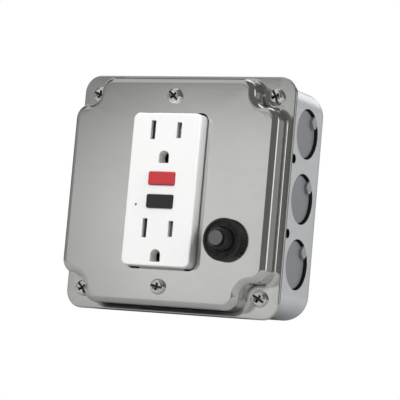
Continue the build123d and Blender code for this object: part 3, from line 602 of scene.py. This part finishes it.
def place_copies(name, source, places, material):
    """Geometry Nodes: a copy of the source at each place, turned and sized as its point says."""
    points = bpy.data.meshes.new(name)
    points.from_pydata([place for place, turn, size in places], [], [])
    points.attributes.new("turn", "FLOAT_VECTOR", "POINT")
    points.attributes.new("size", "FLOAT", "POINT")
    turns, sizes = points.attributes["turn"], points.attributes["size"]
    for index, (place, turn, size) in enumerate(places):
        turns.data[index].vector = turn
        sizes.data[index].value = size
    model = bpy.data.objects.new(name + "_source", source)
    scene.collection.objects.link(model)
    tree = bpy.data.node_groups.new(name + "_copies", "GeometryNodeTree")
    tree.interface.new_socket("Points", in_out="INPUT", socket_type="NodeSocketGeometry")
    tree.interface.new_socket("Model", in_out="INPUT", socket_type="NodeSocketObject")
    tree.interface.new_socket("Material", in_out="INPUT", socket_type="NodeSocketMaterial")
    tree.interface.new_socket("Copies", in_out="OUTPUT", socket_type="NodeSocketGeometry")
    group_in, group_out = tree.nodes.new("NodeGroupInput"), tree.nodes.new("NodeGroupOutput")
    info = tree.nodes.new("GeometryNodeObjectInfo")
    put = tree.nodes.new("GeometryNodeInstanceOnPoints")
    turn_field = tree.nodes.new("GeometryNodeInputNamedAttribute")
    turn_field.data_type = "FLOAT_VECTOR"
    turn_field.inputs["Name"].default_value = "turn"
    size_field = tree.nodes.new("GeometryNodeInputNamedAttribute")
    size_field.data_type = "FLOAT"
    size_field.inputs["Name"].default_value = "size"
    to_turn = tree.nodes.new("FunctionNodeEulerToRotation")
    real = tree.nodes.new("GeometryNodeRealizeInstances")
    coat = tree.nodes.new("GeometryNodeSetMaterial")
    join = tree.links.new
    join(group_in.outputs["Points"], put.inputs["Points"])
    join(group_in.outputs["Model"], info.inputs["Object"])
    join(info.outputs["Geometry"], put.inputs["Instance"])
    join(turn_field.outputs["Attribute"], to_turn.inputs["Euler"])
    join(to_turn.outputs["Rotation"], put.inputs["Rotation"])
    join(size_field.outputs["Attribute"], put.inputs["Scale"])
    join(put.outputs["Instances"], real.inputs["Geometry"])
    join(real.outputs["Geometry"], coat.inputs["Geometry"])
    join(group_in.outputs["Material"], coat.inputs["Material"])
    join(coat.outputs["Geometry"], group_out.inputs["Copies"])
    holder = bpy.data.objects.new(name, points)
    scene.collection.objects.link(holder)
    modifier = holder.modifiers.new("copies", "NODES")
    modifier.node_group = tree
    sockets = {item.name: item.identifier for item in tree.interface.items_tree if item.in_out == "INPUT"}
    modifier[sockets["Model"]] = model
    modifier[sockets["Material"]] = material
    bpy.context.view_layer.update()
    result = bpy.data.meshes.new_from_object(holder.evaluated_get(bpy.context.evaluated_depsgraph_get()))
    for thing in (holder, model):
        bpy.data.objects.remove(thing)
    return result


# %% One pan head screw, in millimetres, standing on its seat
head_radius = 3.7
head_height = 2.3
shoulder_round = 1.35
shoulder_base = 0.75
thread_radius = 2.08
shank_length = 13.0
thread_pitch = 0.79
thread_root = 0.28


def pan_head():
    """Profile from the tip, up the threads, round the shoulder and into the dished crown."""
    crown = head_radius - 1.5
    root = thread_radius - thread_root
    profile = [(0, -shank_length), (thread_radius - 0.5, -shank_length)]
    turns = int((shank_length - 1.2) / thread_pitch)
    for k in range(turns):
        base = -shank_length + 0.5 + k * thread_pitch
        profile += [(root, base), (thread_radius - 0.02, base + thread_pitch * 0.5)]
    profile += [(root, -0.5), (root, 0.0), (head_radius - 0.12, 0.0), (head_radius, 0.18)]
    for step in range(7):
        angle = math.pi / 2 * step / 6
        profile.append((crown + shoulder_round * cos(angle),
                        shoulder_base + (head_height - shoulder_base) * sin(angle)))
    profile += [(crown * 0.8, head_height - 0.12), (crown * 0.45, head_height - 0.45), (0, head_height - 0.5)]
    return spun("pan_head", profile, 64)


cross_floor = head_height - 1.55
slot_floor = head_height - 0.9
above_head = head_height + 0.3
cross_half, cross_width, cross_taper = 2.0, 0.62, 0.62
slot_half, slot_width = 3.0, 0.5
cutters = [
    block((-cross_width, -cross_half, cross_floor), (cross_width, cross_half, above_head), cross_taper),
    block((-cross_half, -cross_width, cross_floor), (cross_half, cross_width, above_head), cross_taper),
    block((-slot_half, -slot_width, slot_floor), (slot_half, slot_width, above_head)),
]
screw_mesh = cut_away(pan_head(), cutters)
print("screw faces", len(screw_mesh.polygons))

# %% A copy at each of the six places
cover_low, cover_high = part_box("cover_screws")
device_low, device_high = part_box("device_screws")
device_head_radius = 3.5
flange_front = cover_low[1] + head_height * mm
raise_front = device_low[1] + head_height * mm
screw_x = cover_high[0] - head_radius * mm
device_z = device_high[2] - device_head_radius * mm
upright_turn = math.pi / 2
cover_places = [((sx * screw_x, flange_front, sz * screw_x), (upright_turn, spin, 0.0), mm)
                for (sx, sz), spin in zip(((-1, -1), (-1, 1), (1, -1), (1, 1)), (0.9, 0.35, 0.5, 1.15))]
device_places = [((0.0, raise_front, sz * device_z), (upright_turn, spin, 0.0),
                  mm * device_head_radius / head_radius)
                 for sz, spin in ((1, 0.75), (-1, 0.2))]


def install_screws(name, places, node):
    mesh = place_copies(name, screw_mesh, places, finishes["bright_screw"])
    piece = install(name, weighted(mesh, 30.0), [node])
    piece.data.materials.append(finishes["recess_shadow"])
    finish_of_recess(piece.data, places)
    return piece


recess_reach = 2.9 * mm
recess_top, recess_bottom = -1.75 * mm, -0.5 * mm


def finish_of_recess(mesh, places):
    """The recess floor and walls are painted darker than the plated crown, as painted shade."""
    centres = [Vector(place) for place, turn, size in places]
    for face in mesh.polygons:
        nearest = min(centres, key=lambda centre: (centre - face.center).length)
        offset = face.center - nearest
        reach = math.hypot(offset.x, offset.z)
        inside = reach < recess_reach and recess_top < offset.y < recess_bottom
        outwards = (offset.x * face.normal.x + offset.z * face.normal.z) / max(reach, 0.01 * mm)
        shoulder = reach > 2.0 * mm and outwards > 0.25
        face.material_index = 1 if inside and not shoulder else 0


for name, places, node in (("cover_screw_set", cover_places, "cover_screws"),
                           ("device_screw_set", device_places, "device_screws")):
    piece = install_screws(name, places, node)
    print(name, "recess faces", sum(face.material_index for face in piece.data.polygons))

# %% [markdown]
# ## Breaker nut
# The ring nut is a black moulding. Its front has a thin bright rim and a lower ring with raised ticks,
# spaced evenly by Geometry Nodes. The push button's end is painted a lighter grey than its side, as painted
# light.

# %% Raised ticks round the nut
nut_low, nut_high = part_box("breaker_nut")
nut_x = (nut_low[0] + nut_high[0]) / 2
nut_z = (nut_low[2] + nut_high[2]) / 2
ring_depth = 0.6 * mm
ring_floor = nut_low[1] + ring_depth
tick_mesh = block((-0.22, -0.75, -0.2), (0.22, 0.75, 0.42), 1.15)
tick_radius = 6.85 * mm
tick_places = []
for group in range(4):
    for step in range(7):
        angle = radians(90 * group + 20 + step * 8.5)
        tick_size = 1.0 if step in (0, 3, 6) else 0.72
        tick_places.append(((nut_x + tick_radius * cos(angle), ring_floor, nut_z + tick_radius * sin(angle)),
                            (upright_turn, math.pi / 2 - angle, 0.0), mm * tick_size))
ticks = place_copies("nut_ticks", tick_mesh, tick_places, finishes["breaker_black"])
nut_body = weighted(frame["nodes"]["breaker_nut"].data.copy(), 28.0)
both = bmesh.new()
both.from_mesh(nut_body)
both.from_mesh(ticks)
both.to_mesh(nut_body)
both.free()
install("breaker_nut_ticked", nut_body, ["breaker_nut"])
print("ticks", len(tick_places))

# %% The button's end is painted lighter, as painted light
button_mesh = bpy.data.objects["breaker_button_smooth"].data
button_mesh.materials.append(finishes["breaker_end_painted_light"])
button_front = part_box("breaker_button")[0][1]
end_faces = 0
for face in button_mesh.polygons:
    if face.center.y < button_front + 0.25 * mm:
        face.material_index = 1
        end_faces += 1
print("button end faces", end_faces)

# %% [markdown]
# ## Springs
# Each coil spring is held at its seat and pushed at its other end. Each spring is taken off the body that
# it rode on and stays where it was built; its seat and its driven end are found and printed. A blended piece
# has no parent, so each spring leaves the body that it rode on.

# %% Take every spring off its body and find its seat and the end that it pushes
spring_drives = {
    "reset_spring": ("reset", 1, 0),
    "test_spring": ("test", 1, 0),
    "breaker_spring": ("breaker_plunger", 1, 0),
    "plunger_spring": ("trip_plunger", 2, 1),
    "upper_shutter_spring": ("upper_shutter_slider", 0, 0),
    "lower_shutter_spring": ("lower_shutter_slider", 0, 0),
}
for node, (moving_body, axis, moving_side) in spring_drives.items():
    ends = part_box(node)
    middle = [(ends[0][k] + ends[1][k]) / 2 for k in range(3)]
    seat, driven = list(middle), list(middle)
    seat[axis] = ends[1 - moving_side][axis]
    driven[axis] = ends[moving_side][axis]
    spring = bpy.data.objects[node + "_smooth"]
    spring.parent = None
    spring.matrix_world = Matrix.Identity(4)
    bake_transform(spring)
    print(node, "seat", round(seat[axis] / mm, 2), "driven end", round(driven[axis] / mm, 2))

# %% [markdown]
# ## Knockouts
# A knockout is sheared almost all the way round and pushed in, held by one small tab. The tab stays level
# with the wall and keeps its zinc, while the pushed disc is painted darker as painted shade, and the sheared
# rim of its hole is bare steel painted almost black as painted shade. Faces are sorted by where they lie,
# so no separate pieces are needed.

# %% Sort the faces round the knockouts
box_half = 50.8 * mm
sheet = 1.6 * mm
skin = 0.05 * mm
wall_plane = box_half - skin
discs = bpy.data.objects["side_knockouts_smooth"].data
# Painted shade: the pushed disc's faces are painted darker; the tab keeps the zinc tone.
discs.materials.append(finishes["knockout_disc_painted_shade"])
discs.materials.append(finishes["tab_zinc"])
for face in discs.polygons:
    reach = max(abs(face.center.x), abs(face.center.z))
    face.material_index = 2 if reach > wall_plane else 1

shell_mesh = bpy.data.objects["box_shell_smooth"].data
# Painted shade: faces on the rim of each knockout hole are painted almost black.
shell_mesh.materials.append(finishes["sheared_rim_painted_shade"])
inner_wall = box_half - sheet + skin
rims = 0
for face in shell_mesh.polygons:
    place, normal = face.center, face.normal
    for along in (0, 2):
        if inner_wall < abs(place[along]) < wall_plane and abs(normal[along]) < 0.2:
            face.material_index = 1
            rims += 1
print("sheared rim faces", rims)
